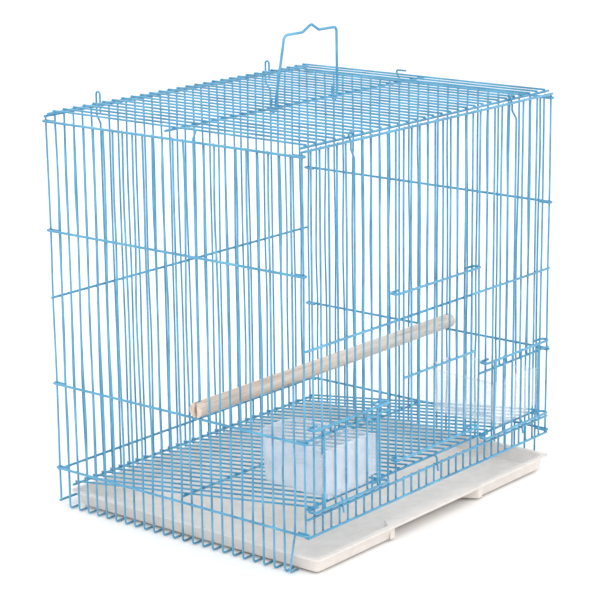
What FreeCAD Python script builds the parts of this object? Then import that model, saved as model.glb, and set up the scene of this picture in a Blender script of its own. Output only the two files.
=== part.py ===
import FreeCAD, Part
import math
import os
import re

import Sketcher
from FreeCAD import Placement, Rotation, Vector

# A folding cage of welded wire for small birds.  +X runs along the front, the front faces -Y and Z
# is up.  The origin is on the ground under the middle of the wire box.  Sizes are in millimetres.

SIZES = {
    # The wire box, between the centres of its corner wires, and the level of the roof's bars.
    "width": 360,
    "depth": 288,
    "height": 361.8,
    "front_gaps": 32,
    "side_gaps": 25,
    "roof_gaps": 28,
    "floor_gaps": 30,
    # Wire, and how its pieces meet.
    "upright_wire": 1.8,
    "bar_wire": 2.2,
    "handle_wire": 2.4,
    "weld_dip": 0.1,
    "running_gap": 0.3,
    "wire_overrun": 0.5,
    "upright_bend": 3.6,
    "full_turn_share": 0.95,
    # Levels of the bars across the uprights.
    "front_top_drop": 2.4,
    "side_top_drop": 6.4,
    "side_mid_level": 258,
    "perch_bar_level": 117.2,
    "bar_stack_gap": 0.2,
    "door_head_level": 195.7,
    "sill_level": 51.6,
    "front_low_level": 35.2,
    "back_mid_level": 196,
    "back_bottom_level": 5.5,
    # Uprights of the front that bound its openings, counted from the left corner.
    "cup_first": 2,
    "cup_last": 8,
    "door_first": 11,
    "door_last": 21,
    # Feet of the side uprights, and the long eyes of the side bars round the corner uprights.
    "foot_length": 11,
    "foot_bend": 2.6,
    "corner_eye_leg": 12,
    # Latch hooks and the roof's hinge loops.
    "latch_wire": 6,
    "latch_jog_drop": 17.8,
    "latch_roof_gaps": 9.5,
    "latch_jog_rise": 8,
    "latch_rise": 4.4,
    "latch_kick": 4,
    "latch_finger": 12,
    "latch_turn": 1.8,
    "side_latch_wire": 15,
    "side_latch_splice": 8,
    "hinge_loop_top": 12.2,
    "hinge_loop_leg": 16,
    # Sliding doors.
    "door_low_level": 72,
    "door_mid_level": 144.5,
    "door_top_level": 220,
    "cup_door_low_level": 57,
    "cup_door_top_level": 128,
    "cup_door_gaps": 5,
    "cup_door_margin": 9,
    "eye_reach": 6.3,
    "eye_leg": 14,
    # Sloping floor grille.
    "floor_mid_level": 38.8,
    "floor_tilt": 7.5,
    "floor_front_inset": 5.5,
    "floor_back_inset": 10,
    "floor_side_inset": 6,
    "floor_hook_drop": 14,
    "floor_hook_step": 12,
    "floor_hook_bend": 2.7,
    # Roof and handle.
    "roof_side_inset": 7.8,
    "roof_bar_overhang": 3,
    "roof_wire_overrun": 0.8,
    "handle_top_width": 73,
    "handle_shoulder": 64.5,
    "handle_peak": 70.7,
    "handle_peak_width": 23,
    "handle_leg_bend": 9,
    "handle_leg_radius": 19.2,
    "handle_shoulder_radius": 4.8,
    "handle_crown_radius": 3.6,
    "handle_roof_gaps": 3.5,
    "handle_return": 9,
    "handle_gap": 0.4,
    "handle_lean": 5,
    # Perch.
    "perch_diameter": 13.7,
    "perch_overhang": 5,
    "perch_slot_clear": 0.8,
    "perch_slot_depth": 1,
    "perch_chamfer": 0.6,
    # Feed and water cups.
    "cup_side_gap": 1.3,
    "cup_back_taper": 5.55,
    "cup_depth": 83,
    "cup_floor_gap": 1.64,
    "cup_rim_level": 104.4,
    "cup_wall": 1.5,
    "cup_draft": 3,
    "cup_corner": 17,
    "cup_rim_thickness": 1.6,
    "cup_rim_width": 1,
    "cup_ear_overlap": 3.75,
    "cup_ear_low_level": 68,
    "cup_ear_corner": 5,
    # Pull-out tray.
    "tray_side_gap": 4.1,
    "tray_back_gap": 6,
    "tray_forward": 9,
    "tray_floor": 1.8,
    "tray_wall": 1.8,
    "tray_rim_level": 16,
    "tray_draft": 4,
    "tray_corner": 4.5,
    "tray_rim_width": 3,
    "tray_rim_thickness": 1.6,
    "tray_shelf_drop": 3.5,
    "pull_half_width": 70,
    "pull_depth": 22,
    "pull_slant": 14,
}

# Sizes and places that follow from the ones above.
FOLLOWING = {
    "front_pitch": "width / front_gaps",
    "side_pitch": "depth / side_gaps",
    "roof_pitch": "(width - 2 * roof_side_inset) / roof_gaps",
    "bar_step": "(upright_wire + bar_wire) / 2 - weld_dip",
    "front_bars_y": "-depth / 2 - bar_step",
    "back_bars_y": "depth / 2 + bar_step",
    "door_wires_y": "front_bars_y - (bar_wire + upright_wire) / 2 - running_gap",
    "door_bars_y": "door_wires_y - bar_step",
    "eye_leg_y": "-depth / 2 + (upright_wire + bar_wire) / 2 + running_gap",
    "eye_bend": "full_turn_share * (eye_leg_y - door_bars_y) / 2",
    "side_bars_x": "-width / 2 - bar_step",
    "corner_eye_x": "-width / 2 + (upright_wire + bar_wire) / 2 + bar_stack_gap",
    "corner_eye_y": "depth / 2 + (upright_wire + bar_wire) / 2 + running_gap",
    "corner_eye_bend": "full_turn_share * (corner_eye_x - side_bars_x) / 2",
    "front_top_level": "height - front_top_drop",
    "side_top_level": "height - side_top_drop",
    "cup_head_level": "perch_bar_level + bar_wire + bar_stack_gap",
    "side_low_level": "front_low_level + bar_wire + bar_stack_gap",
    "foot_level": "upright_wire / 2",
    "latch_jog_level": "height - latch_jog_drop",
    "latch_x": "latch_roof_gaps * roof_pitch",
    "roof_bars_y": "depth / 2 - (upright_wire + bar_wire) / 2 - running_gap",
    "hinge_bend": "(upright_wire + bar_wire) / 2 + running_gap",
    "hinge_turn_level": "height + hinge_loop_top - upright_wire / 2 - hinge_bend",
    "cup_centre_x": "width / 2 - (cup_first + cup_last) / 2 * front_pitch",
    "cup_ride": "((cup_last - cup_first) / 2 + 1) * front_pitch",
    "cup_door_pitch": "2 * (cup_ride - cup_door_margin) / cup_door_gaps",
    "door_ride": "(door_last - door_first) / 2 * front_pitch",
    "floor_front": "(depth / 2 - floor_front_inset) / cos(floor_tilt)",
    "floor_back": "(depth / 2 - floor_back_inset) / cos(floor_tilt)",
    "floor_hook_face": "front_bars_y - (bar_wire + upright_wire) / 2 + weld_dip / 2",
    "floor_hook_y": "floor_hook_face * cos(floor_tilt) - (sill_level - floor_mid_level) * sin(floor_tilt)",
    "floor_pitch": "width / front_gaps",
    "handle_foot_x": "handle_roof_gaps * roof_pitch",
    "handle_bend": "(bar_wire + handle_wire) / 2 + handle_gap",
    "perch_y": "depth / 2 - side_latch_wire * side_pitch",
    "perch_level": "perch_bar_level + bar_wire / 2 + running_gap + perch_diameter / 2",
    "perch_half": "width / 2 + perch_overhang",
    "cup_half": "(cup_last - cup_first) / 2 * front_pitch - upright_wire / 2 - cup_side_gap",
    "cup_back_half": "cup_half - cup_rim_width - cup_back_taper",
    "cup_ear_half": "(cup_last - cup_first) / 2 * front_pitch + cup_ear_overlap",
    "floor_front_top": "floor_mid_level + (depth / 2 - floor_front_inset) * tan(floor_tilt)",
    "cup_bottom_level": "floor_front_top + (bar_step + upright_wire / 2) / cos(floor_tilt) + cup_floor_gap",
    "ear_back_y": "-(depth / 2 + upright_wire / 2 + running_gap)",
    "ear_front_y": "door_wires_y + upright_wire / 2 + running_gap",
    "tray_half": "width / 2 - upright_wire / 2 - tray_side_gap",
    "tray_back_y": "depth / 2 - upright_wire / 2 - tray_back_gap",
    "tray_front_y": "-depth / 2 - tray_forward",
    "tray_bottom": "upright_wire + running_gap",
    "tray_wall_y": "tray_front_y + tray_rim_width + tray_wall",
    "shelf_level": "tray_rim_level - tray_shelf_drop",
}

doc = FreeCAD.newDocument("wire_bird_cage")
sheet = doc.addObject("Spreadsheet::Sheet", "Sizes")
for line, (alias, size) in enumerate(SIZES.items(), start=1):
    sheet.set(f"A{line}", str(size))
    sheet.setAlias(f"A{line}", alias)
doc.recompute()


def spelled(text):
    """An expression with each size pointed at its cell and each following size written out."""
    def spell(word):
        if word[0] in SIZES:
            return "Sizes." + word[0]
        if word[0] in FOLLOWING:
            return "(" + spelled(FOLLOWING[word[0]]) + ")"
        return word[0]
    return re.sub(r"[a-z][a-z_]*", spell, str(text))


def number(text):
    """The value of an expression, in millimetres or degrees."""
    return float(sheet.evalExpression(spelled(text)))


def bind(thing, setting, text):
    thing.setExpression(setting, spelled(text))


# The three planes of a body: the axes along and up each one, its normal and the normal's sense.
PLANES = {
    "XY_Plane": ("x", "y", "z", 1),
    "XZ_Plane": ("x", "z", "y", -1),
    "YZ_Plane": ("y", "z", "x", 1),
}
PLANE_ACROSS = {"z": "XY_Plane", "y": "XZ_Plane", "x": "YZ_Plane"}


def origin_part(body, role):
    return next(part for part in body.Origin.OriginFeatures if part.Role == role)


def new_body(label, place=("0", "0", "0"), axis=Vector(0, 0, 1), angle="0"):
    """An empty body, its origin at a bound place and turned by a bound angle about an axis."""
    body = doc.addObject("PartDesign::Body", label)
    body.Label = label
    body.AllowCompound = True
    body.Placement = Placement(Vector(*map(number, place)), Rotation(axis, number(angle)))
    for direction, text in zip("xyz", place):
        bind(body, f"Placement.Base.{direction}", text)
    if number(angle):
        bind(body, "Placement.Rotation.Angle", angle)
    return body


def sketch_on(body, plane, level="0"):
    """An empty sketch parallel to one of the body's planes, at a bound level along its normal."""
    sketch = body.newObject("Sketcher::SketchObject", "Sketch")
    sketch.AttachmentSupport = [(origin_part(body, plane), "")]
    sketch.MapMode = "FlatFace"
    bind(sketch, "AttachmentOffset.Base.z", f"{PLANES[plane][3]} * ({level})")
    return sketch


def dimension(sketch, name, constraint, text):
    index = sketch.addConstraint(constraint)
    sketch.renameConstraint(index, name)
    bind(sketch, f"Constraints.{name}", text)


def pin(sketch, shape, point, across, up):
    """Holds one point of a sketch at bound distances across and up from its origin."""
    for kind, text in (("DistanceX", across), ("DistanceY", up)):
        name = f"{kind}_{shape}_{point}"
        dimension(sketch, name, Sketcher.Constraint(kind, -1, 1, shape, point, number(text)), text)


def circle(sketch, across, up, diameter):
    centre = Vector(number(across), number(up), 0)
    shape = sketch.addGeometry(Part.Circle(centre, Vector(0, 0, 1), number(diameter) / 2))
    pin(sketch, shape, 3, across, up)
    dimension(sketch, f"Radius_{shape}", Sketcher.Constraint("Radius", shape, number(diameter) / 2),
              f"({diameter}) / 2")


def bend_arc(before, corner, after, radius):
    """The arc that rounds a corner, its two ends in the order met, and whether it turns left."""
    back = (before - corner).normalize()
    ahead = (after - corner).normalize()
    half = math.acos(max(-1, min(1, back.dot(ahead)))) / 2
    run = radius / math.tan(half)
    centre = corner + (back + ahead).normalize() * (radius / math.sin(half))
    ends = (corner + back * run, corner + ahead * run)
    left = back.cross(ahead).z < 0
    first, last = ends if left else ends[::-1]
    angles = [math.atan2(end.y - centre.y, end.x - centre.x) for end in (first, last)]
    arc = Part.ArcOfCircle(Part.Circle(centre, Vector(0, 0, 1), radius), *angles)
    return arc, ends, left


def draw(sketch, corners, bends, closed=False):
    """Straight runs between bound corners.  A corner with a bound bend radius is rounded by an arc."""
    points = [Vector(number(across), number(up), 0) for across, up in corners]
    count = len(points)
    arrivals, departures, arcs = list(points), list(points), {}
    for i, bend in enumerate(bends):
        if bend:
            around = (points[i - 1], points[i], points[(i + 1) % count])
            arcs[i], (arrivals[i], departures[i]), left = bend_arc(*around, number(bend))
            arcs[i] = (arcs[i], left)
    runs = range(count if closed else count - 1)
    lines = {}
    placed = {}
    for i in runs:
        after = (i + 1) % count
        lines[i] = sketch.addGeometry(Part.LineSegment(departures[i], arrivals[after]))
        if after in arcs:
            placed[after] = sketch.addGeometry(arcs[after][0])
    for i, (across, up) in enumerate(corners):
        arriving = lines.get(i - 1 if i or not closed else count - 1)
        leaving = lines.get(i)
        if i in arcs:
            mark = sketch.addGeometry(Part.Point(points[i]), True)
            pin(sketch, mark, 1, across, up)
            first, last = (1, 2) if arcs[i][1] else (2, 1)
            sketch.addConstraint(Sketcher.Constraint("PointOnObject", mark, 1, arriving))
            sketch.addConstraint(Sketcher.Constraint("PointOnObject", mark, 1, leaving))
            sketch.addConstraint(Sketcher.Constraint("Tangent", arriving, 2, placed[i], first))
            sketch.addConstraint(Sketcher.Constraint("Tangent", leaving, 1, placed[i], last))
            radius = Sketcher.Constraint("Radius", placed[i], number(bends[i]))
            dimension(sketch, f"Radius_{placed[i]}", radius, bends[i])
        elif arriving is None:
            pin(sketch, leaving, 1, across, up)
        else:
            pin(sketch, arriving, 2, across, up)
            if leaving is not None:
                sketch.addConstraint(Sketcher.Constraint("Coincident", arriving, 2, leaving, 1))


def rod(body, along, start, length, wire):
    """A straight wire: its start is a bound place and it runs up the named axis."""
    plane = PLANE_ACROSS[along]
    across, up, normal, sense = PLANES[plane]
    place = dict(zip("xyz", start))
    profile = sketch_on(body, plane, place[normal])
    circle(profile, place[across], place[up], wire)
    pad = body.newObject("PartDesign::Pad", "Wire")
    pad.Profile = profile
    pad.Reversed = sense < 0
    bind(pad, "Length", length)
    body.Tip = pad
    return pad


def row(body, feature, along, spacing, count):
    """Repeats a feature at a bound spacing up the named axis."""
    if number(count) < 2:
        return
    pattern = body.newObject("PartDesign::LinearPattern", "Row")
    pattern.Originals = [feature]
    pattern.Direction = (origin_part(body, along.upper() + "_Axis"), [""])
    bind(pattern, "Length", f"({spacing}) * ({count} - 1)")
    bind(pattern, "Occurrences", count)
    body.Tip = pattern


def bent_wire(body, plane, level, corners, bends, wire):
    """A wire swept along bound corners in a plane.  Its first run lies along one of the plane's axes."""
    across, up, normal, _ = PLANES[plane]
    path = sketch_on(body, plane, level)
    draw(path, corners, bends)
    starts_up = abs(number(corners[0][0]) - number(corners[1][0])) < 1e-6
    along = up if starts_up else across
    place = {across: corners[0][0], up: corners[0][1], normal: level}
    end_plane = PLANE_ACROSS[along]
    end_across, end_up, _, _ = PLANES[end_plane]
    profile = sketch_on(body, end_plane, place[along])
    circle(profile, place[end_across], place[end_up], wire)
    pipe = body.newObject("PartDesign::AdditivePipe", "BentWire")
    pipe.Profile = profile
    pipe.Spine = path
    body.Tip = pipe
    return pipe


# ---- Front and back panels ----

def upright_ranks(label, y, ranks, bottom, top):
    """Uprights of the front or back, given as first and last numbers counted from the left corner."""
    body = new_body(label, ("-width / 2", y, "0"))
    for first, last in ranks:
        wire = rod(body, "z", (f"({first}) * front_pitch", "0", bottom), f"({top}) - ({bottom})",
                   "upright_wire")
        row(body, wire, "x", "front_pitch", f"{last} - ({first}) + 1")
    return body


def cross_bars(label, y, levels, left="-width / 2", right="width / 2"):
    body = new_body(label, ("0", y, "0"))
    for level in levels:
        rod(body, "x", (left, "0", level), f"({right}) - ({left})", "bar_wire")
    return body


def front_panel():
    """Full uprights stand between the openings.  Short ones close the strip below the sill, and the
    ones above a cup opening or the door hang from the top bar."""
    low = "front_low_level - wire_overrun"
    high = "front_top_level + wire_overrun"
    mirror_first = "front_gaps - cup_last"
    mirror_last = "front_gaps - cup_first"
    full = [("0", "cup_first"), ("cup_last", "door_first"), ("door_last", mirror_first),
            (mirror_last, "front_gaps")]
    upright_ranks("front_uprights", "-depth / 2", full, low, high)
    door_wires = ("door_first + 1", "door_last - 1")
    head_low = "door_head_level - wire_overrun"
    upright_ranks("front_head_uprights", "-depth / 2", [door_wires], head_low, high)
    left_wires = ("cup_first + 1", "cup_last - 1")
    right_wires = (f"{mirror_first} + 1", f"{mirror_last} - 1")
    strip = [left_wires, door_wires, right_wires]
    upright_ranks("front_short_uprights", "-depth / 2", strip, low, "sill_level + wire_overrun")
    right_latch = "front_gaps - latch_wire + 1"
    above_cups = [("cup_first + 1", "latch_wire - 1"), ("latch_wire + 1", "cup_last - 1"),
                  (f"{mirror_first} + 1", f"{right_latch} - 1"), (f"{right_latch} + 1", f"{mirror_last} - 1")]
    cup_low = "cup_head_level - wire_overrun"
    upright_ranks("front_cup_uprights", "-depth / 2", above_cups, cup_low, high)
    cross_bars("front_bars", "front_bars_y",
               ["front_low_level", "sill_level", "door_head_level", "front_top_level"])
    inner_end = "width / 2 - (cup_last + 2) * front_pitch - upright_wire / 2"
    heads = cross_bars("cup_head_bars", "front_bars_y", ["cup_head_level"], right=f"-({inner_end})")
    rod(heads, "x", (inner_end, "0", "cup_head_level"), f"width / 2 - ({inner_end})", "bar_wire")
    front_latch("front_latch_left", "latch_wire * front_pitch - width / 2", "-latch_x", cup_low)
    front_latch("front_latch_right", f"({right_latch}) * front_pitch - width / 2", "latch_x", cup_low)


def front_latch(label, foot_x, hook_x, bottom):
    """An upright over a cup that jogs sideways between two roof wires and ends in a sideways finger,
    just in front of the roof's front bar."""
    top = "height + latch_rise"
    jog_top = "latch_jog_level + latch_jog_rise"
    corners = [(foot_x, bottom), (foot_x, "latch_jog_level"), (hook_x, jog_top),
               (hook_x, "height - latch_kick"), (f"{hook_x} - latch_kick", top),
               (f"{hook_x} - latch_kick + latch_finger", top)]
    bends = [None, "upright_bend", "upright_bend", "upright_bend", "latch_turn", None]
    body = new_body(label, ("0", "-depth / 2", "0"))
    bent_wire(body, "XZ_Plane", "0", corners, bends, "upright_wire")


def back_panel():
    """Uprights reach down to a bottom bar behind the tray.  Two of them are the roof's hinge loops."""
    low = "back_bottom_level - wire_overrun"
    high = "front_top_level + wire_overrun"
    right_loop = "front_gaps - latch_wire + 1"
    ranks = [("0", "latch_wire - 1"), ("latch_wire + 1", f"{right_loop} - 1"),
             (f"{right_loop} + 1", "front_gaps")]
    upright_ranks("back_uprights", "depth / 2", ranks, low, high)
    cross_bars("back_bars", "back_bars_y",
               ["back_bottom_level", "front_low_level", "back_mid_level", "front_top_level"])
    hinge_loop("roof_hinge_loop_left", "latch_wire * front_pitch - width / 2", "-latch_x", low)
    hinge_loop("roof_hinge_loop_right", f"({right_loop}) * front_pitch - width / 2", "latch_x", low)


def hinge_loop(label, foot_x, loop_x, bottom):
    """An upright that jogs sideways, rises past the roof's back bar and turns down in front of it."""
    body = new_body(label)
    jog_top = "latch_jog_level + latch_jog_rise"
    rise = [(foot_x, bottom), (foot_x, "latch_jog_level"), (loop_x, jog_top),
            (loop_x, "hinge_turn_level - wire_overrun")]
    bent_wire(body, "XZ_Plane", "depth / 2", rise, [None, "upright_bend", "upright_bend", None],
              "upright_wire")
    over = "hinge_turn_level + hinge_bend"
    front = "depth / 2 - 2 * hinge_bend"
    loop = [("depth / 2", "hinge_turn_level - wire_overrun"), ("depth / 2", over), (front, over),
            (front, "hinge_turn_level - hinge_loop_leg")]
    turn = "full_turn_share * hinge_bend"
    bent_wire(body, "YZ_Plane", loop_x, loop, [None, turn, turn, None], "upright_wire")


# ---- Side panels: the same piece, turned half round for the right side ----

def side_panel(side, half_turn):
    """Uprights with feet turned in under the tray, bars outside them that end in long eyes round the
    corner uprights, and one upright that runs on up as a latch finger beside the roof."""
    top = "side_top_level + wire_overrun"
    uprights = new_body(f"{side}_uprights", angle=half_turn)
    foot = [("-width / 2", top), ("-width / 2", "foot_level"), ("foot_length - width / 2", "foot_level")]
    ranks = [("1", "side_latch_wire - 1"), ("side_latch_wire + 1", "side_gaps - 1")]
    for first, last in ranks:
        wire = bent_wire(uprights, "XZ_Plane", f"({last}) * -side_pitch + depth / 2", foot,
                         [None, "foot_bend", None], "upright_wire")
        row(uprights, wire, "y", "side_pitch", f"{last} - ({first}) + 1")
    bars = new_body(f"{side}_bars", angle=half_turn)
    for level in ("side_low_level", "perch_bar_level", "side_mid_level", "side_top_level"):
        eyed_bar(bars, level)
    latch = new_body(f"{side}_latch", angle=half_turn)
    latch_y = "depth / 2 - side_latch_wire * side_pitch"
    split = "side_top_level - side_latch_splice"
    foot[0] = ("-width / 2", f"{split} + wire_overrun")
    bent_wire(latch, "XZ_Plane", latch_y, foot, [None, "foot_bend", None], "upright_wire")
    finger_level = "height + latch_rise"
    finger = [(latch_y, split), (latch_y, "height - latch_kick"), (f"{latch_y} - latch_kick", finger_level),
              (f"{latch_y} - latch_kick + latch_finger", finger_level)]
    bent_wire(latch, "YZ_Plane", "-width / 2", finger, [None, "upright_bend", "latch_turn", None],
              "upright_wire")


def eyed_bar(body, level):
    near = "corner_eye_y - corner_eye_leg"
    corners = [("corner_eye_x", f"-({near})"), ("corner_eye_x", "-corner_eye_y"),
               ("side_bars_x", "-corner_eye_y"), ("side_bars_x", "corner_eye_y"),
               ("corner_eye_x", "corner_eye_y"), ("corner_eye_x", near)]
    bends = [None] + 4 * ["corner_eye_bend"] + [None]
    bent_wire(body, "XY_Plane", level, corners, bends, "bar_wire")


# ---- Sliding doors: each rides on two uprights of the front by eyes folded in behind them ----

def door_bar(body, level, ride):
    reach = f"({ride} + eye_reach)"
    tip = f"({reach} - eye_leg)"
    corners = [(f"-{tip}", "eye_leg_y"), (f"-{reach}", "eye_leg_y"), (f"-{reach}", "door_bars_y"),
               (reach, "door_bars_y"), (reach, "eye_leg_y"), (tip, "eye_leg_y")]
    bent_wire(body, "XY_Plane", level, corners, [None] + 4 * ["eye_bend"] + [None], "bar_wire")


def door_uprights(label, centre_x, low, high, gaps, pitch):
    body = new_body(label, (centre_x, "door_wires_y", f"{low} - wire_overrun"))
    wire = rod(body, "z", (f"-({gaps}) * {pitch} / 2", "0", "0"), f"{high} - {low} + 2 * wire_overrun",
               "upright_wire")
    row(body, wire, "x", pitch, f"{gaps} + 1")


def main_door():
    gaps = "door_last - door_first - 1"
    door_uprights("main_door_uprights", "0", "door_low_level", "door_top_level", gaps, "front_pitch")
    bars = new_body("main_door_bars")
    door_bar(bars, "door_low_level", "door_ride")
    door_bar(bars, "door_top_level", "door_ride")
    half = f"(({gaps}) * front_pitch / 2 + upright_wire + wire_overrun)"
    rod(bars, "x", (f"-{half}", "door_bars_y", "door_mid_level"), f"2 * {half}", "bar_wire")


def cup_door(side, centre_x):
    door_uprights(f"{side}_cup_door_uprights", centre_x, "cup_door_low_level", "cup_door_top_level",
                  "cup_door_gaps", "cup_door_pitch")
    bars = new_body(f"{side}_cup_door_bars", (centre_x, "0", "0"))
    door_bar(bars, "cup_door_low_level", "cup_ride")
    door_bar(bars, "cup_door_top_level", "cup_ride")


# ---- Sloping floor grille, highest at the front where its hooks hang over the sill bar ----

def floor_grille():
    place = ("0", "0", "floor_mid_level")
    slope = dict(axis=Vector(1, 0, 0), angle="-floor_tilt")
    half = "(width / 2 - floor_side_inset)"
    bars = new_body("floor_bars", place, **slope)
    for y in ("-floor_front", "0", "floor_back"):
        rod(bars, "x", (f"-{half}", y, "0"), f"2 * {half}", "bar_wire")
    wires = new_body("floor_wires", place, **slope)
    end = "(bar_wire / 2 + wire_overrun)"
    wire = rod(wires, "y", ("-floor_gaps / 2 * floor_pitch", f"-floor_front - {end}", "bar_step"),
               f"floor_front + floor_back + 2 * {end}", "upright_wire")
    row(wires, wire, "x", "floor_pitch", "floor_gaps + 1")
    hooks = new_body("floor_hooks", place, **slope)
    bend = "floor_hook_bend"
    corners = [(f"-floor_front - {end}", "bar_step"), ("floor_hook_y", "bar_step"),
               ("floor_hook_y", "bar_step - floor_hook_drop")]
    hook = bent_wire(hooks, "YZ_Plane", "-floor_hook_step * floor_pitch", corners, [None, bend, None],
                     "upright_wire")
    row(hooks, hook, "x", "floor_hook_step * floor_pitch", "3")


# ---- Roof, its carrying handle and the perch ----

def roof():
    bars = new_body("roof_bars", ("0", "0", "height"))
    long_half = "(width / 2 + roof_bar_overhang)"
    for y, half in (("-roof_bars_y", "(width / 2)"), ("0", long_half), ("roof_bars_y", "(width / 2)")):
        rod(bars, "x", (f"-{half}", y, "0"), f"2 * {half}", "bar_wire")
    wires = new_body("roof_wires", ("0", "0", "height"))
    end = "(roof_bars_y + roof_wire_overrun)"
    wire = rod(wires, "y", ("-roof_gaps / 2 * roof_pitch", f"-{end}", "bar_step"), f"2 * {end}",
               "upright_wire")
    row(wires, wire, "x", "roof_pitch", "roof_gaps + 1")


def handle():
    """A bail whose legs turn under the roof's middle bar and back up beside themselves."""
    body = new_body("handle", ("0", "0", "height"), Vector(1, 0, 0), "handle_lean")
    foot, top, peak = "handle_foot_x", "handle_top_width / 2", "handle_peak_width / 2"
    right = [(peak, "handle_shoulder"), (top, "handle_shoulder"), (foot, "handle_leg_bend"), (foot, "0")]
    left = [(f"-{across}", up) for across, up in right[::-1]]
    bends = [None, "handle_leg_radius", "handle_shoulder_radius", "handle_crown_radius"]
    bent_wire(body, "XZ_Plane", "-handle_bend", left + [("0", "handle_peak")] + right,
              bends + ["handle_crown_radius"] + bends[::-1], "handle_wire")
    turn = "full_turn_share * handle_bend"
    hook = [("-handle_bend", "wire_overrun"), ("-handle_bend", "-handle_bend"),
            ("handle_bend", "-handle_bend"), ("handle_bend", "handle_return")]
    for side in ("-", ""):
        bent_wire(body, "YZ_Plane", f"{side}handle_foot_x", hook, [None, turn, turn, None], "handle_wire")


def pocket(body, profile, length, reverse):
    cut = body.newObject("PartDesign::Pocket", "Cut")
    cut.Profile = profile
    cut.Reversed = reverse
    bind(cut, "Length", length)
    body.Tip = cut
    return cut


def perch():
    """A round wooden bar slotted at both ends over a side upright, standing on the bars behind it."""
    body = new_body("perch", ("0", "perch_y", "perch_level"))
    bar = rod(body, "x", ("-perch_half", "0", "0"), "2 * perch_half", "perch_diameter")
    doc.recompute()
    edge = body.newObject("PartDesign::Chamfer", "EndChamfer")
    edge.Base = (bar, ["Edge1", "Edge3"])
    bind(edge, "Size", "perch_chamfer")
    body.Tip = edge
    slot_inner = "width / 2 - upright_wire / 2 - perch_slot_depth"
    half_width = "(upright_wire + perch_slot_clear) / 2"
    for side in ("", "-"):
        profile = sketch_on(body, "XY_Plane", "-perch_diameter")
        inner, outer = f"{side}({slot_inner})", f"{side}(perch_half + perch_diameter)"
        corners = [(inner, f"-{half_width}"), (outer, f"-{half_width}"), (outer, half_width),
                   (inner, half_width)]
        draw(profile, corners, 4 * [None], closed=True)
        pocket(body, profile, "2 * perch_diameter", True)


# ---- Feed and water cups: a tub inside the bars behind an ear plate outside them ----

def tub_outline(sketch, half_front, half_back, front, back, corner):
    corners = [(f"-({half_front})", front), (half_front, front), (half_back, back),
               (f"-({half_back})", back)]
    draw(sketch, corners, [None, None, corner, corner], closed=True)


def tub_loft(body, kind, inset, low, draft):
    """A tub or its hollow: an outline at the low level, widened to the rim by the draft."""
    lines = []
    for level, shrink in ((low, f"({inset} + {draft})"), ("cup_rim_level", f"({inset})")):
        sketch = sketch_on(body, "XY_Plane", level)
        tub_outline(sketch, f"cup_half - cup_rim_width - {shrink}", f"cup_back_half - {shrink}",
                    f"ear_back_y + {inset}", f"ear_back_y + cup_depth - {shrink}",
                    f"cup_corner - {shrink}")
        lines.append(sketch)
    loft = body.newObject(f"PartDesign::{kind}Loft", "Tub")
    loft.Profile = lines[0]
    loft.Sections = lines[1:]
    body.Tip = loft


def cup(side, centre_x):
    body = new_body(f"{side}_cup", (centre_x, "0", "0"))
    tub_loft(body, "Additive", "0", "cup_bottom_level", "cup_draft")
    rim = sketch_on(body, "XY_Plane", "cup_rim_level - cup_rim_thickness")
    tub_outline(rim, "cup_half", "cup_back_half + cup_rim_width", "ear_back_y",
                "ear_back_y + cup_depth + cup_rim_width", "cup_corner + cup_rim_width")
    lip = body.newObject("PartDesign::Pad", "Rim")
    lip.Profile = rim
    bind(lip, "Length", "cup_rim_thickness")
    ear = sketch_on(body, "XZ_Plane", "ear_back_y")
    half = "cup_ear_half"
    corners = [(f"-{half}", "cup_ear_low_level"), (half, "cup_ear_low_level"), (half, "cup_rim_level"),
               (f"-{half}", "cup_rim_level")]
    draw(ear, corners, 4 * ["cup_ear_corner"], closed=True)
    plate = body.newObject("PartDesign::Pad", "Ear")
    plate.Profile = ear
    bind(plate, "Length", "ear_back_y - ear_front_y")
    tub_loft(body, "Subtractive", "cup_wall", "cup_bottom_level + cup_wall", "cup_draft")


# ---- Pull-out tray ----

def box_outline(sketch, half, front, back, corner):
    corners = [(f"-({half})", front), (half, front), (half, back), (f"-({half})", back)]
    draw(sketch, corners, 4 * [corner], closed=True)


def tray_loft(body, kind, inset, low):
    lines = []
    for level, shrink in ((low, f"({inset} + tray_draft)"), ("tray_rim_level", f"({inset})")):
        sketch = sketch_on(body, "XY_Plane", level)
        box_outline(sketch, f"tray_half - tray_rim_width - {shrink}", f"tray_front_y + tray_rim_width + {shrink}",
                    f"tray_back_y - tray_rim_width - {shrink}", "tray_corner")
        lines.append(sketch)
    loft = body.newObject(f"PartDesign::{kind}Loft", "Pan")
    loft.Profile = lines[0]
    loft.Sections = lines[1:]
    body.Tip = loft


def pull_outline(sketch, inset, front):
    half = f"pull_half_width - {inset}"
    back = f"tray_front_y + pull_depth - {inset}"
    corners = [(f"-({half})", front), (half, front), (f"{half} - pull_slant", back),
               (f"pull_slant - ({half})", back)]
    draw(sketch, corners, 4 * [None], closed=True)


def tray():
    """A shallow pan with a flat rim.  A shelf behind the middle of its front hides a hand pull, which
    is open below and in front."""
    body = new_body("tray")
    tray_loft(body, "Additive", "0", "tray_bottom")
    rim = sketch_on(body, "XY_Plane", "tray_rim_level - tray_rim_thickness")
    box_outline(rim, "tray_half", "tray_front_y", "tray_back_y", "tray_corner")
    lip = body.newObject("PartDesign::Pad", "Rim")
    lip.Profile = rim
    bind(lip, "Length", "tray_rim_thickness")
    tray_loft(body, "Subtractive", "tray_wall", "tray_bottom + tray_floor")
    shelf = sketch_on(body, "XY_Plane", "tray_bottom")
    pull_outline(shelf, "0", "tray_wall_y")
    block = body.newObject("PartDesign::Pad", "Shelf")
    block.Profile = shelf
    bind(block, "Length", "shelf_level - tray_bottom")
    recess = sketch_on(body, "XY_Plane")
    pull_outline(recess, "tray_wall", "tray_front_y - tray_rim_width")
    pocket(body, recess, "shelf_level - tray_wall", True)


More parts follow.
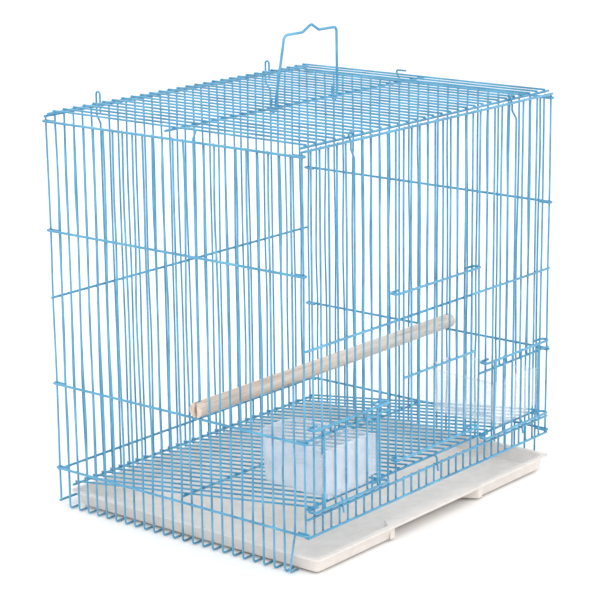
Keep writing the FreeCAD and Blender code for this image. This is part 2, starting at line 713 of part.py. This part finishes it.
front_panel()
back_panel()
side_panel("left", "0")
side_panel("right", "180")
main_door()
cup_door("left", "-cup_centre_x")
cup_door("right", "cup_centre_x")
floor_grille()
roof()
handle()
perch()
cup("left", "-cup_centre_x")
cup("right", "cup_centre_x")
tray()
doc.recompute()

for item in doc.Objects:
    if {"Invalid", "Error"} & set(item.State):
        raise RuntimeError(f"{item.Label} could not be computed: {item.State}")

os.makedirs("parts", exist_ok=True)
for item in doc.Objects:
    if item.TypeId == "PartDesign::Body":
        if item.Shape.isNull() or not item.Shape.isValid():
            raise RuntimeError(f"{item.Label} has no valid shape")
        item.Shape.exportStep(f"parts/{item.Label}.step")
        print(f"{item.Label}: {len(item.Shape.Solids)} solids, {item.Shape.Volume:.0f} mm3")
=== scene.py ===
import math
import random

import bmesh
import bpy
from mathutils import Matrix, Vector
from mathutils.geometry import intersect_line_line


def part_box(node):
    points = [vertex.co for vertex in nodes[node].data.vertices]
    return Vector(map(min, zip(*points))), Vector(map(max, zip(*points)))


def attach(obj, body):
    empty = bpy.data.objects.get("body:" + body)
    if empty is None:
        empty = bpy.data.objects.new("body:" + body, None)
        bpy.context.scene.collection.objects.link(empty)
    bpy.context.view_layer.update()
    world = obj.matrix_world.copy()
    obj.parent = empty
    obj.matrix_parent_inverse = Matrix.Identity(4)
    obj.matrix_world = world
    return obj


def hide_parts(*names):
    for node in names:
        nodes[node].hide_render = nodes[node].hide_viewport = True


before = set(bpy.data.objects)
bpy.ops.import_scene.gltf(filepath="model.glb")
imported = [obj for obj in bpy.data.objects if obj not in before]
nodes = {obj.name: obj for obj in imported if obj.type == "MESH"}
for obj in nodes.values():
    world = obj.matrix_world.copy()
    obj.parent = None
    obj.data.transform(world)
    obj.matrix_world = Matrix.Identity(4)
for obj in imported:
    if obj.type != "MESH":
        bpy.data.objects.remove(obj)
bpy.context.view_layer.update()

# A sky-blue folding cage of welded wire for small birds, with a wooden perch, two cups and a tray.
# Sizes in the dictionaries are millimetres unless a note says otherwise.

mm = 0.001
scene = bpy.context.scene
dice = random.Random(41)
print("frame loaded")

# Camera: a little above the cage, looking at its left front corner.

camera = {
    "place": (-1.47213, -1.20463, 0.67011),      # metres
    "azimuth": -50.530, "elevation": 14.464, "roll": -0.672,    # degrees
    "lens": 129.09, "sensor": 36.0,
    "near": 0.05, "far": 30,                     # metres
}


def makeCamera(c):
    az, el, roll = (math.radians(c[k]) for k in ("azimuth", "elevation", "roll"))
    back = Vector((math.sin(az) * math.cos(el), -math.cos(az) * math.cos(el), math.sin(el)))
    right = (-back).cross(Vector((0, 0, 1))).normalized()
    up = right.cross(-back)
    tiltedRight = math.cos(roll) * right + math.sin(roll) * up
    tiltedUp = math.cos(roll) * up - math.sin(roll) * right
    lens = bpy.data.cameras.new("camera")
    lens.lens, lens.sensor_width = c["lens"], c["sensor"]
    lens.clip_start, lens.clip_end = c["near"], c["far"]
    cam = bpy.data.objects.new("camera", lens)
    axes = Matrix((tiltedRight, tiltedUp, back)).transposed()
    cam.matrix_world = Matrix.Translation(c["place"]) @ axes.to_4x4()
    scene.collection.objects.link(cam)
    scene.camera = cam


makeCamera(camera)
print("camera set")

# Materials.


def hexColour(text):        # sRGB hex to the linear values that shaders take
    parts = [int(text[i:i + 2], 16) / 255 for i in (1, 3, 5)]
    return [p / 12.92 if p <= 0.04045 else ((p + 0.055) / 1.055) ** 2.4 for p in parts] + [1]


def addNode(mat, kind, settings=None, links=None, **fields):
    # fields are the node's properties, settings its input values, links its inputs from (node, output)
    node = mat.node_tree.nodes.new(kind)
    for field, value in fields.items():
        setattr(node, field, value)
    for socket, value in (settings or {}).items():
        node.inputs[socket].default_value = value
    for socket, (source, output) in (links or {}).items():
        mat.node_tree.links.new(source.outputs[output], node.inputs[socket])
    return node


def newMaterial(name):
    mat = bpy.data.materials.new(name)
    mat.use_nodes = True
    mat.node_tree.nodes.clear()
    return mat


def finishMaterial(mat, shader):
    addNode(mat, "ShaderNodeOutputMaterial", links={"Surface": (shader, 0)})
    return mat


def rampOf(mat, source, output, stops):
    ramp = addNode(mat, "ShaderNodeValToRGB", links={"Fac": (source, output)})
    marks = ramp.color_ramp.elements
    while len(marks) < len(stops):
        marks.new(0.5)
    for mark, (at, colour) in zip(marks, stops):
        mark.position, mark.color = at, hexColour(colour)
    return ramp


enamelLook = {
    "body": "#4A9ABF", "pale": "#5FACCF", "pooled": "#3A84A8",
    "drift": 22, "run": 1.1, "depth": 0.05,      # drifts of colour, and size and depth of runs
    "glossy": 0.24, "dull": 0.4,                 # roughness where the coat pools and where it is palest
}


def dippedEnamel(c):
    # Mild steel wire dipped in sky-blue enamel: glossy, with slow drifts of colour where the coat is
    # thicker and small runs that break the highlight along each wire.
    mat = newMaterial("sky_blue_dipped_enamel_on_steel_wire")
    place = addNode(mat, "ShaderNodeTexCoord")
    drift = addNode(mat, "ShaderNodeTexNoise", {"Scale": 1 / (c["drift"] * mm), "Detail": 3},
                    {"Vector": (place, "Object")})
    colour = rampOf(mat, drift, "Fac", [(0.3, c["pooled"]), (0.5, c["body"]), (0.7, c["pale"])])
    runs = addNode(mat, "ShaderNodeTexNoise", {"Scale": 1 / (c["run"] * mm), "Detail": 2},
                   {"Vector": (place, "Object")})
    bump = addNode(mat, "ShaderNodeBump", {"Strength": 0.35, "Distance": c["depth"] * mm},
                   {"Height": (runs, "Fac")})
    sheen = addNode(mat, "ShaderNodeMapRange",
                    {"From Min": 0.3, "From Max": 0.7, "To Min": c["glossy"], "To Max": c["dull"]},
                    {"Value": (drift, "Fac")})
    shader = addNode(mat, "ShaderNodeBsdfPrincipled",
                     {"IOR": 1.5, "Metallic": 0.0, "Coat Weight": 0.35, "Coat Roughness": 0.12},
                     {"Base Color": (colour, 0), "Roughness": (sheen, 0), "Normal": (bump, 0)})
    return finishMaterial(mat, shader)


ramin = {
    "light": "#E6D8CC", "body": "#DACBBE", "grain": "#C8B3A2",
    "pore": "#D3C4B6", "between": "#F3EEE9", "clean": "#FFFFFF",     # these tint the three above
    "fibre": 1.1, "depth": 0.09,      # its fibres are about 0.3 mm wide, drawn coarser so that they show
    "ring": 5.5, "stretch": 26,       # width of the growth rings, and how much longer than wide all this is
}


def turnedWood(c):
    # Ramin or another pale hardwood, turned to a dowel, sanded and left bare: dull, with long fine
    # fibres and darker pore streaks that run along it.
    mat = newMaterial("pale_turned_hardwood_dowel")
    place = addNode(mat, "ShaderNodeTexCoord")
    along = addNode(mat, "ShaderNodeMapping", {"Scale": (1 / c["stretch"], 1, 1)},
                    {"Vector": (place, "Object")})
    fibres = addNode(mat, "ShaderNodeTexNoise",
                     {"Scale": 1 / (c["fibre"] * mm), "Detail": 5, "Roughness": 0.6},
                     {"Vector": (along, 0)})
    rings = addNode(mat, "ShaderNodeTexNoise",
                    {"Scale": 1 / (c["ring"] * mm), "Detail": 2, "Distortion": 0.4},
                    {"Vector": (along, 0)})
    tone = rampOf(mat, rings, "Fac", [(0.32, c["grain"]), (0.48, c["body"]), (0.66, c["light"])])
    streak = rampOf(mat, fibres, "Fac", [(0.33, c["pore"]), (0.45, c["between"]), (0.8, c["clean"])])
    colour = addNode(mat, "ShaderNodeMix", {"Factor": 0.75}, data_type="RGBA", blend_type="MULTIPLY")
    mat.node_tree.links.new(tone.outputs[0], colour.inputs["A"])
    mat.node_tree.links.new(streak.outputs[0], colour.inputs["B"])
    bump = addNode(mat, "ShaderNodeBump", {"Strength": 0.5, "Distance": c["depth"] * mm},
                   {"Height": (fibres, "Fac")})
    shader = addNode(mat, "ShaderNodeBsdfPrincipled", {"IOR": 1.5, "Roughness": 0.62},
                     {"Base Color": (colour, "Result"), "Normal": (bump, 0)})
    return finishMaterial(mat, shader)


# face and edge: how solid a wall looks square on and edge on
frosted = {
    "name": "frosted_moulded_polystyrene", "tint": "#D6DEE8", "haze": "#E8EDF3",
    "face": 0.17, "edge": 0.78, "rough": 0.3, "cloud": 12, "flow": 3.5, "depth": 0.1,
}
glassy = {
    "name": "clear_moulded_polystyrene", "tint": "#E9EFF3", "haze": "#FBFCFD",
    "face": 0.06, "edge": 0.5, "rough": 0.08, "cloud": 16, "flow": 5, "depth": 0.1,
}


def mouldedCup(c):
    # Injection-moulded polystyrene: hard and see-through face on, milky where its wall turns edge on,
    # with slow flow lines that make its highlights uneven.
    mat = newMaterial(c["name"])
    place = addNode(mat, "ShaderNodeTexCoord")
    cloud = addNode(mat, "ShaderNodeTexNoise", {"Scale": 1 / (c["cloud"] * mm), "Detail": 3},
                    {"Vector": (place, "Object")})
    colour = rampOf(mat, cloud, "Fac", [(0.35, c["tint"]), (0.65, c["haze"])])
    flow = addNode(mat, "ShaderNodeTexNoise", {"Scale": 1 / (c["flow"] * mm), "Detail": 2},
                   {"Vector": (place, "Object")})
    bump = addNode(mat, "ShaderNodeBump", {"Strength": 0.12, "Distance": c["depth"] * mm},
                   {"Height": (flow, "Fac")})
    turning = addNode(mat, "ShaderNodeLayerWeight", {"Blend": 0.35})
    body = addNode(mat, "ShaderNodeMapRange", {"To Min": c["face"], "To Max": c["edge"]},
                   {"Value": (turning, "Facing")})
    shader = addNode(mat, "ShaderNodeBsdfPrincipled", {"IOR": 1.59, "Roughness": c["rough"]},
                     {"Base Color": (colour, 0), "Alpha": (body, 0), "Normal": (bump, 0)})
    return finishMaterial(mat, shader)


traySkin = {
    "light": "#EAE2DB", "shade": "#E1D9D2", "cloud": 11,
    "grain": 1.3, "depth": 0.12,      # its spark grain is about 0.2 mm, drawn coarser so that it shows
}


def mouldedTray(c):
    # White polypropylene, injection moulded against a fine spark-eroded steel face: a soft sheen
    # with a fine even grain and faint clouding.
    mat = newMaterial("white_moulded_polypropylene")
    place = addNode(mat, "ShaderNodeTexCoord")
    cloud = addNode(mat, "ShaderNodeTexNoise", {"Scale": 1 / (c["cloud"] * mm), "Detail": 4},
                    {"Vector": (place, "Object")})
    colour = rampOf(mat, cloud, "Fac", [(0.35, c["shade"]), (0.65, c["light"])])
    grain = addNode(mat, "ShaderNodeTexVoronoi", {"Scale": 1 / (c["grain"] * mm)},
                    {"Vector": (place, "Object")})
    bump = addNode(mat, "ShaderNodeBump", {"Strength": 0.5, "Distance": c["depth"] * mm},
                   {"Height": (grain, "Distance")})
    shader = addNode(mat, "ShaderNodeBsdfPrincipled", {"IOR": 1.49, "Roughness": 0.55},
                     {"Base Color": (colour, 0), "Normal": (bump, 0)})
    return finishMaterial(mat, shader)


backdrop = {
    "light": "#FCFCFC", "shade": "#F8F8F8",
    "tooth": 1.1111,                  # paper's own is about 0.3 mm, drawn coarser so that it shows
    "reach": 6000, "below": 0.4,      # half its width, and how far it lies below the feet
}


def paperSweep(c):
    # Matt white background paper: even and without gloss, with a barely visible tooth.
    mat = newMaterial("matt_white_background_paper")
    place = addNode(mat, "ShaderNodeTexCoord")
    tooth = addNode(mat, "ShaderNodeTexNoise", {"Scale": 1 / (c["tooth"] * mm), "Detail": 3},
                    {"Vector": (place, "Object")})
    colour = rampOf(mat, tooth, "Fac", [(0.3, c["shade"]), (0.7, c["light"])])
    shader = addNode(mat, "ShaderNodeBsdfPrincipled", {"Roughness": 0.95}, {"Base Color": (colour, 0)})
    return finishMaterial(mat, shader)


enamel = dippedEnamel(enamelLook)
wood = turnedWood(ramin)
frostedPlastic = mouldedCup(frosted)
clearPlastic = mouldedCup(glassy)
trayPlastic = mouldedTray(traySkin)
paper = paperSweep(backdrop)
finishes = {"perch": wood, "left_cup": frostedPlastic, "right_cup": clearPlastic, "tray": trayPlastic}
for name, node in nodes.items():
    node.data.materials.clear()
    node.data.materials.append(finishes.get(name, enamel))
print("materials made")

# Helpers for meshes.


joined = 1e-6       # metres: points of a frame node that lie closer than this are one


def islandsOf(name):        # the separate solids of a frame node, each as a list of its points
    bm = bmesh.new()
    bm.from_mesh(nodes[name].data)
    bmesh.ops.remove_doubles(bm, verts=bm.verts, dist=joined)
    waiting, found = set(bm.verts), []
    for seed in list(bm.verts):
        if seed not in waiting:
            continue
        waiting.discard(seed)
        edge, group = [seed], []
        while edge:
            point = edge.pop()
            group.append(point.co.copy())
            for side in point.link_edges:
                other = side.other_vert(point)
                if other in waiting:
                    waiting.discard(other)
                    edge.append(other)
        found.append(group)
    bm.free()
    return found


endDepth = 0.1      # points within this of a wire's furthest point are the rim of its cut end


def middleLine(group, along):       # the two ends of a straight wire's centre line, and its radius
    reach = [p.dot(along) for p in group]
    low, high = min(reach), max(reach)
    start = [p for p, r in zip(group, reach) if r < low + endDepth * mm]
    end = [p for p, r in zip(group, reach) if r > high - endDepth * mm]
    a = sum(start, Vector()) / len(start)
    b = sum(end, Vector()) / len(end)
    return a, b, max((p - a).length for p in start)


def wiresOf(name, along):
    lines = [middleLine(group, along) for group in islandsOf(name)]
    return sorted(lines, key=lambda w: [round(v, 5) for v in (w[0] + w[1]) / 2])


def curveAt(knots, at):     # a smooth curve through (place, offset) knots
    places = [k[0] for k in knots]
    i = max(0, min(len(knots) - 2, sum(1 for p in places if p <= at) - 1))
    (x0, y0), (x1, y1) = knots[i], knots[i + 1]
    before, after = knots[max(i - 1, 0)], knots[min(i + 2, len(knots) - 1)]
    m0 = (y1 - before[1]) / (x1 - before[0]) * (x1 - x0)
    m1 = (after[1] - y0) / (after[0] - x0) * (x1 - x0)
    t = (at - x0) / (x1 - x0)
    return ((2 * t ** 3 - 3 * t ** 2 + 1) * y0 + (t ** 3 - 2 * t ** 2 + t) * m0
            + (3 * t ** 2 - 2 * t ** 3) * y1 + (t ** 3 - t ** 2) * m1)


cutEnd = ((0, 0.62), (0.18, 0.9), (0.5, 1))     # distance in from the end and girth, in wire radii


def addTube(bm, points, radius, sides=14):
    # a wire through the points, its cut ends rounded over by the coat
    count = len(points)
    first = (points[1] - points[0]).normalized()
    across = first.orthogonal().normalized()
    rings = []

    def ring(centre, forward, size):
        nonlocal across
        across = (across - forward * across.dot(forward)).normalized()
        side = forward.cross(across)
        spokes = [math.cos(a) * across + math.sin(a) * side
                  for a in (2 * math.pi * k / sides for k in range(sides))]
        rings.append([bm.verts.new(centre + size * spoke) for spoke in spokes])

    for i, point in enumerate(points):
        forward = (points[min(i + 1, count - 1)] - points[max(i - 1, 0)]).normalized()
        if i == 0:
            for inward, girth in cutEnd:
                ring(point + forward * radius * inward, forward, radius * girth)
        elif i == count - 1:
            for inward, girth in reversed(cutEnd):
                ring(point - forward * radius * inward, forward, radius * girth)
        else:
            ring(point, forward, radius)
    for low, high in zip(rings, rings[1:]):
        for k in range(sides):
            n = (k + 1) % sides
            bm.faces.new((low[k], low[n], high[n], high[k]))
    bm.faces.new(rings[0][::-1])
    bm.faces.new(rings[-1])


sharpAbove = 40     # degrees: edges that turn more than this stay crisp


def finishPiece(bm, name, mat, body, replaced=()):
    bmesh.ops.recalc_face_normals(bm, faces=bm.faces)
    mesh = bpy.data.meshes.new(name)
    bm.to_mesh(mesh)
    bm.free()
    mesh.materials.append(mat)
    mesh.shade_smooth()
    mesh.set_sharp_from_angle(angle=math.radians(sharpAbove))
    piece = bpy.data.objects.new(name, mesh)
    scene.collection.objects.link(piece)
    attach(piece, body)
    if replaced:
        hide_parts(*replaced)


# Straight wires, each a little out of true between its welds.

acrossAxis, depthAxis, upAxis = Vector((1, 0, 0)), Vector((0, 1, 0)), Vector((0, 0, 1))
slope = math.radians(7.5)       # of the floor grille
downhill = Vector((0, math.cos(slope), -math.sin(slope)))

# node: body, direction, direction it strays in, how far it strays, nodes that it is welded to
straightWires = {
    "front_uprights": ("walls", upAxis, acrossAxis, 0.8, ("front_bars",)),
    "front_head_uprights": ("walls", upAxis, acrossAxis, 1.1, ("front_bars",)),
    "front_short_uprights": ("walls", upAxis, acrossAxis, 0.2, ("front_bars",)),
    "front_cup_uprights": ("walls", upAxis, acrossAxis, 1.0, ("front_bars", "cup_head_bars")),
    "front_bars": ("walls", acrossAxis, upAxis, 0.25, ("front_uprights",)),
    "cup_head_bars": ("walls", acrossAxis, upAxis, 0.2, ("front_cup_uprights",)),
    "back_uprights": ("walls", upAxis, acrossAxis, 1.5, ("back_bars",)),
    "back_bars": ("walls", acrossAxis, upAxis, 0.25, ("back_uprights",)),
    "main_door_uprights": ("main_door", upAxis, acrossAxis, 0.35, ("main_door_bars",)),
    "left_cup_door_uprights": ("left_cup_door", upAxis, acrossAxis, 0.35, ("left_cup_door_bars",)),
    "right_cup_door_uprights": ("right_cup_door", upAxis, acrossAxis, 0.35, ("right_cup_door_bars",)),
    "floor_bars": ("walls", acrossAxis, depthAxis, 0.3, ("floor_wires",)),
    "floor_wires": ("walls", downhill, acrossAxis, 0.7, ("floor_bars",)),
    "roof_bars": ("roof", acrossAxis, depthAxis, 0.25, ("roof_wires",)),
    "roof_wires": ("roof", depthAxis, acrossAxis, 0.7, ("roof_bars",)),
}
wireLines = {name: wiresOf(name, row[1]) for name, row in straightWires.items()}
straightDraw = {
    "step": 11,                             # between rings along a wire
    "pitch": 11.25, "corner": -180,         # front uprights are counted from the left corner
    "true": {2, 8, 11, 21, 24, 30},         # the ones that guide a door or bound a cup stay true
}
stray = {
    "closest": 25, "fullSpan": 120,         # welds closer than this count as one, and a full stray's span
    "peak": (0.35, 0.65), "past": 0.1,      # where the stray peaks in its span, and a margin at the ends
}


def barLevels(name):    # heights of the bent bars of a node
    return sorted({round((min(p.z for p in g) + max(p.z for p in g)) / 2, 5) for g in islandsOf(name)})


def weldsAlong(welded, along):      # how far along a direction the nodes that hold a wire lie
    places = []
    for other in welded:
        if other in wireLines:
            places += [((w[0] + w[1]) / 2).dot(along) for w in wireLines[other]]
        else:
            places += [z * along.z for z in barLevels(other)]
    return sorted({round(place, 5) for place in places})


def strayKnots(low, high, welds, amount):
    # places along a wire and how far out of true it is there: nothing at a weld, most between two
    knots = []
    marks = [w for w in welds if low < w < high] or [low, high]
    keep = [marks[0]]
    for mark in marks[1:]:
        if mark - keep[-1] > stray["closest"] * mm:
            keep.append(mark)
    for here, after in zip(keep, keep[1:]):
        knots.append((here, 0))
        size = amount * mm * min(1, (after - here) / (stray["fullSpan"] * mm))
        peak = here + (after - here) * dice.uniform(*stray["peak"])
        knots.append((peak, dice.uniform(-1, 1) * size))
    knots.append((keep[-1], 0))
    if knots[0][0] > low:
        knots.insert(0, (low - stray["past"] * mm, 0))
    if knots[-1][0] < high:
        knots.append((high + stray["past"] * mm, 0))
    return knots


def drawStraight(name, row, c):
    body, along, aside, amount, welded = row
    welds = weldsAlong(welded, along)
    bm = bmesh.new()
    for a, b, radius in wireLines[name]:
        low, high = a.dot(along), b.dot(along)
        true = name == "front_uprights" and round((a.x / mm - c["corner"]) / c["pitch"]) in c["true"]
        knots = strayKnots(low, high, welds, 0 if true else amount)
        count = max(2, round((high - low) / (c["step"] * mm)))
        points = []
        for k in range(count + 1):
            t = k / count
            points.append(a.lerp(b, t) + aside * curveAt(knots, low + (high - low) * t))
        addTube(bm, points, radius)
    finishPiece(bm, name.replace("_", "-") + ".drawn", enamel, body, (name,))


for name, row in straightWires.items():
    drawStraight(name, row, straightDraw)
print("straight wires drawn")

# Side uprights: bent feet, a stray between welds, and one foot knocked askew.

sideWires = {
    "pitch": 11.52, "wireRadius": 0.9, "latchPlace": 28.8,
    "stray": 1.6, "step": 13, "snap": 0.0001,      # a ring is cut every step, and takes in nearer points
    "firstCut": 10, "lastCut": 5,                  # level of the first ring, and room left at the top
    "knock": 6.5, "knee": 37.6,      # how far the knocked foot is out, and the level where that starts
}


def drawSideWires(side, c):
    name = side + "_uprights"
    bm = bmesh.new()
    bm.from_mesh(nodes[name].data)
    bmesh.ops.remove_doubles(bm, verts=bm.verts, dist=joined)
    low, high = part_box(name)
    cut = c["firstCut"] * mm
    while cut < high.z - c["lastCut"] * mm:
        bmesh.ops.bisect_plane(bm, geom=bm.verts[:] + bm.edges[:] + bm.faces[:], dist=c["snap"] * mm,
                               plane_co=(0, 0, cut), plane_no=upAxis)
        cut += c["step"] * mm
    welds = barLevels(side + "_bars")
    wires = {}
    for v in bm.verts:
        wires.setdefault(round(v.co.y / (c["pitch"] * mm) * 2), []).append(v)
    for place in sorted(wires):
        knots = strayKnots(low.z, high.z, welds, c["stray"])
        knocked = side == "left" and place == min(wires)
        for v in wires[place]:
            v.co.y += curveAt(knots, v.co.z)
            if knocked and v.co.z < c["knee"] * mm:
                v.co.y += c["knock"] * mm * (1 - v.co.z / (c["knee"] * mm))
    finishPiece(bm, side + "-uprights.drawn", enamel, "walls", (name,))


for side in ("left", "right"):
    drawSideWires(side, sideWires)
print("side wires drawn")

# Welds: the coat pools in the corners where wires cross.

weld = {
    "spread": 0.42, "thick": 0.62,      # how far a weld reaches past its wires, and half its thickness
    "uneven": 0.12, "apart": 0.1,       # how lopsided it is, and the widest gap that it bridges
}


def cornersOf(group):
    return [Vector([pick(p[i] for p in group) for i in range(3)]) for pick in (min, max)]


def bentRuns(name, across):     # the long straight run of each bent bar, on its outer side
    runs = []
    for group in islandsOf(name):
        lo, hi = cornersOf(group)
        radius = (hi.z - lo.z) / 2
        mid = (lo + hi) / 2
        if across == "y":
            x = lo.x + radius if mid.x < 0 else hi.x - radius
            runs.append((Vector((x, lo.y, mid.z)), Vector((x, hi.y, mid.z)), radius))
        else:
            y = lo.y + radius
            runs.append((Vector((lo.x, y, mid.z)), Vector((hi.x, y, mid.z)), radius))
    return runs


def bentRises(name, c):     # the upright run of each side wire or latch
    runs = []
    for group in islandsOf(name):
        lo, hi = cornersOf(group)
        side = -1 if lo.x < 0 else 1
        radius = c["wireRadius"] * mm
        x = lo.x + radius if side < 0 else hi.x - radius
        y = (lo.y + hi.y) / 2 if name.endswith("uprights") else side * c["latchPlace"] * mm
        runs.append((Vector((x, y, lo.z)), Vector((x, y, hi.z)), radius))
    return runs


def addWeld(bm, centre, alongBar, alongUpright, barRadius, uprightRadius, c):
    away = alongBar.cross(alongUpright).normalized()
    start = len(bm.verts)
    made = bmesh.ops.create_icosphere(bm, subdivisions=2, radius=1)["verts"]
    size = (uprightRadius + c["spread"] * mm, barRadius + c["spread"] * mm, c["thick"] * mm)
    for v in made:
        lean = 1 + c["uneven"] * math.sin(7 * v.co.x + 3 * start)
        v.co = (centre + alongBar * v.co.x * size[0] * lean + alongUpright * v.co.y * size[1]
                + away * v.co.z * size[2])


weldGroups = {
    "front-welds": ("walls", ("front_uprights", "front_head_uprights", "front_short_uprights",
                              "front_cup_uprights"), ("front_bars", "cup_head_bars")),
    "back-welds": ("walls", ("back_uprights",), ("back_bars",)),
    "left-welds": ("walls", ("left_uprights", "left_latch"), ("left_bars",)),
    "right-welds": ("walls", ("right_uprights", "right_latch"), ("right_bars",)),
    "roof-welds": ("roof", ("roof_wires",), ("roof_bars",)),
    "floor-welds": ("walls", ("floor_wires",), ("floor_bars",)),
    "main-door-welds": ("main_door", ("main_door_uprights",), ("main_door_bars",)),
    "left-cup-door-welds": ("left_cup_door", ("left_cup_door_uprights",), ("left_cup_door_bars",)),
    "right-cup-door-welds": ("right_cup_door", ("right_cup_door_uprights",), ("right_cup_door_bars",)),
}


def linesOf(name):
    if name in wireLines:
        return wireLines[name]
    if name.endswith(("uprights", "latch")):
        return bentRises(name, sideWires)
    return bentRuns(name, "y" if name in ("left_bars", "right_bars") else "x")


def crossing(upright, bar, widest):     # where an upright and a bar meet, or None
    (u0, u1, uprightRadius), (b0, b1, barRadius) = upright, bar
    met = intersect_line_line(u0, u1, b0, b1)
    if not met or (met[0] - met[1]).length > uprightRadius + barRadius + widest:
        return None
    for point, low, high in ((met[0], u0, u1), (met[1], b0, b1)):
        if not 0 <= (point - low).dot(high - low) / (high - low).length_squared <= 1:
            return None
    return met[0].lerp(met[1], uprightRadius / (uprightRadius + barRadius))


for name, (body, uprights, bars) in weldGroups.items():
    bm = bmesh.new()
    welds = 0
    barLines = [line for part in bars for line in linesOf(part)]
    for upright in [line for part in uprights for line in linesOf(part)]:
        for bar in barLines:
            centre = crossing(upright, bar, weld["apart"] * mm)
            if centre:
                alongBar, alongUpright = ((line[1] - line[0]).normalized() for line in (bar, upright))
                addWeld(bm, centre, alongBar, alongUpright, bar[2], upright[2], weld)
                welds += 1
    finishPiece(bm, name, enamel, body)
    print(name, welds)
print("welds made")

# Rolled rims of the cups.

cupRim = {
    "middle": 123.75, "halfFront": 31.0, "halfBack": 25.5, "front": -145.1, "back": -61.7, "corner": 17.5,
    "bead": 0.8, "sides": 12, "steps": 10,       # the rim's radius, and how finely it and its corners are cut
    "sideKnot": 0.4,                             # a point this share of the way along each side
}


def roundedCorner(before, corner, after, radius, steps):
    back, ahead = (before - corner).normalized(), (after - corner).normalized()
    half = back.angle(ahead) / 2
    centre = corner + (back + ahead).normalized() * (radius / math.sin(half))
    start = corner + back * (radius / math.tan(half)) - centre
    end = corner + ahead * (radius / math.tan(half)) - centre
    return [centre + start.slerp(end, k / steps).normalized() * radius for k in range(steps + 1)]


def rollRim(side, sign, mat, c):        # a bead round the front corners, the sides and the back
    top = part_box(side + "_cup")[1].z - c["bead"] * mm
    corners = [Vector((x, y, 0)) * mm for x, y in (
        (-c["halfFront"], c["front"]), (-c["halfBack"], c["back"]), (c["halfBack"], c["back"]),
        (c["halfFront"], c["front"]))]
    path = [corners[0], corners[0].lerp(corners[1], c["sideKnot"])]
    path += roundedCorner(corners[0], corners[1], corners[2], c["corner"] * mm, c["steps"])
    path += roundedCorner(corners[1], corners[2], corners[3], c["corner"] * mm, c["steps"])
    path += [corners[3].lerp(corners[2], c["sideKnot"]), corners[3]]
    shift = Vector((sign * c["middle"] * mm, 0, top))
    bm = bmesh.new()
    addTube(bm, [point + shift for point in path], c["bead"] * mm, c["sides"])
    finishPiece(bm, side + "-cup-rim", mat, side + "_cup")


rollRim("left", -1, frostedPlastic, cupRim)
rollRim("right", 1, clearPlastic, cupRim)
print("cup rims rolled")

# Floor paper, lights and surroundings.

studio = {      # each light's place and size in metres and its power in watts
    "key": ((-1.6, -1.9, 2.6), 2.2, 46),
    "fill": ((2.2, -1.6, 1.6), 2.4, 9),
    "rim": ((0.6, 2.4, 2.2), 1.8, 18),
}
aim = (0, 0, 0.15)      # metres: what the lights point at
room = {"colour": "#FFFFFF", "strength": 1.0}


def makeLights(lights):
    for name, (place, size, power) in lights.items():
        lamp = bpy.data.lights.new(name, "AREA")
        lamp.size, lamp.energy = size, power
        light = bpy.data.objects.new(name, lamp)
        light.location = place
        light.rotation_mode = "QUATERNION"
        light.rotation_quaternion = (Vector(aim) - light.location).to_track_quat("-Z", "Y")
        scene.collection.objects.link(light)


def makeRoom(c):
    world = bpy.data.worlds.new("white_room")
    world.use_nodes = True
    shine = world.node_tree.nodes["Background"]
    shine.inputs["Color"].default_value = hexColour(c["colour"])
    shine.inputs["Strength"].default_value = c["strength"]
    scene.world = world
    scene.view_settings.view_transform = "Standard"


def layPaper(c):
    bm = bmesh.new()
    bmesh.ops.create_grid(bm, x_segments=8, y_segments=8, size=c["reach"] * mm)
    mesh = bpy.data.meshes.new("paper_floor")
    bm.to_mesh(mesh)
    bm.free()
    mesh.materials.append(paper)
    sheet = bpy.data.objects.new("paper_floor", mesh)
    sheet.location.z = -c["below"] * mm
    scene.collection.objects.link(sheet)


makeLights(studio)
makeRoom(room)
layPaper(backdrop)
print("studio lit")

bpy.context.view_layer.update()
